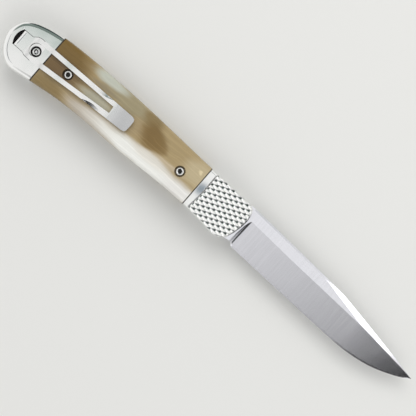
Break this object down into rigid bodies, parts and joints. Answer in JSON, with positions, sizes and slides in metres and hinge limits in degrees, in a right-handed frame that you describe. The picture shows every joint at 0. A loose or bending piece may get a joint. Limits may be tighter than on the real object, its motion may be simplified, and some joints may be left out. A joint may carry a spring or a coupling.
{
  "type": "folding trapper knife",
  "caption": "Folding trapper knife with a clip point blade on a flipper pivot, liner lock, horn scales, knurled front bolsters, polished rear bolsters and a windowed pocket clip.",
  "frame": {"origin": "on the show side's outer face, under the middle of the open knife's length and depth", "axes": "+X from the butt to the blade's tip, +Y from the cutting edge to the back, +Z out of the clip side; it lies on its show side with the blade open"},
  "size_m": [0.1778, 0.0204, 0.0145],
  "materials": {
    "blade_steel": "satin, ground from the edge to the back",
    "polished_steel": "mirror polished stainless steel",
    "liner_steel": "satin stainless steel",
    "fastener_steel": "polished",
    "ram_horn": "polished ram's horn",
    "bearing_nylon": "moulded"
  },
  "bodies": {
    "handle": {"pivot_barrel": "fastener_steel", "pivot_screw": "fastener_steel", "liner_left": "liner_steel", "liner_right": "liner_steel", "backspacer": "liner_steel", "backspacer_screws_left": "fastener_steel", "backspacer_screws_right": "fastener_steel", "bolster_front_left": "polished_steel", "bolster_front_right": "polished_steel", "bolster_screws_left": "fastener_steel", "bolster_screws_right": "fastener_steel", "scale_left": "ram_horn", "scale_right": "ram_horn", "scale_screws_left": "fastener_steel", "scale_screws_right": "fastener_steel", "bolster_rear_left": "polished_steel", "bolster_rear_right": "polished_steel", "rear_screw_left": "fastener_steel", "rear_screw_right": "fastener_steel"},
    "blade": {"blade": "blade_steel", "stop_pin": "fastener_steel"},
    "bearing_left": {"bearing_cage_left": "bearing_nylon", "bearing_balls_left": "fastener_steel"},
    "bearing_right": {"bearing_cage_right": "bearing_nylon", "bearing_balls_right": "fastener_steel"},
    "lock_bar": {"lock_bar": "liner_steel", "detent_ball": "fastener_steel"},
    "clip": {"pocket_clip": "polished_steel"}
  },
  "joints": [
    {"name": "blade_pivot", "type": "hinge", "parent": "handle", "child": "blade", "pos_m": [0.0045, -0.00065, 0.0063], "axis": [0, 0, -1], "range_deg": [0, 180]},
    {"name": "bearing_left_spin", "type": "hinge", "parent": "handle", "child": "bearing_left", "pos_m": [0.0045, -0.00065, 0.00465], "axis": [0, 0, -1], "range_deg": [0, 90]},
    {"name": "bearing_right_spin", "type": "hinge", "parent": "handle", "child": "bearing_right", "pos_m": [0.0045, -0.00065, 0.00795], "axis": [0, 0, -1], "range_deg": [0, 90]},
    {"name": "lock_release", "type": "hinge", "parent": "handle", "child": "lock_bar", "pos_m": [-0.03696, -0.0045, 0.0089], "axis": [0, -1, 0], "range_deg": [0, 1.96], "deforming": ["lock_bar", "detent_ball"]},
    {"name": "clip_flex", "type": "hinge", "parent": "handle", "child": "clip", "pos_m": [-0.0835, -0.00031, 0.01135], "axis": [0, -1, 0], "range_deg": [0, 2.5], "stiffness_Nm_per_rad": 0.1, "springref_deg": -1.72}
  ],
  "couplings": [
    {"joint": "bearing_left_spin", "follows": "blade_pivot", "ratio": 0.5},
    {"joint": "bearing_right_spin", "follows": "blade_pivot", "ratio": 0.5},
    {"joint": "lock_release", "follows": "blade_pivot", "ratio": 0.01089}
  ]
}
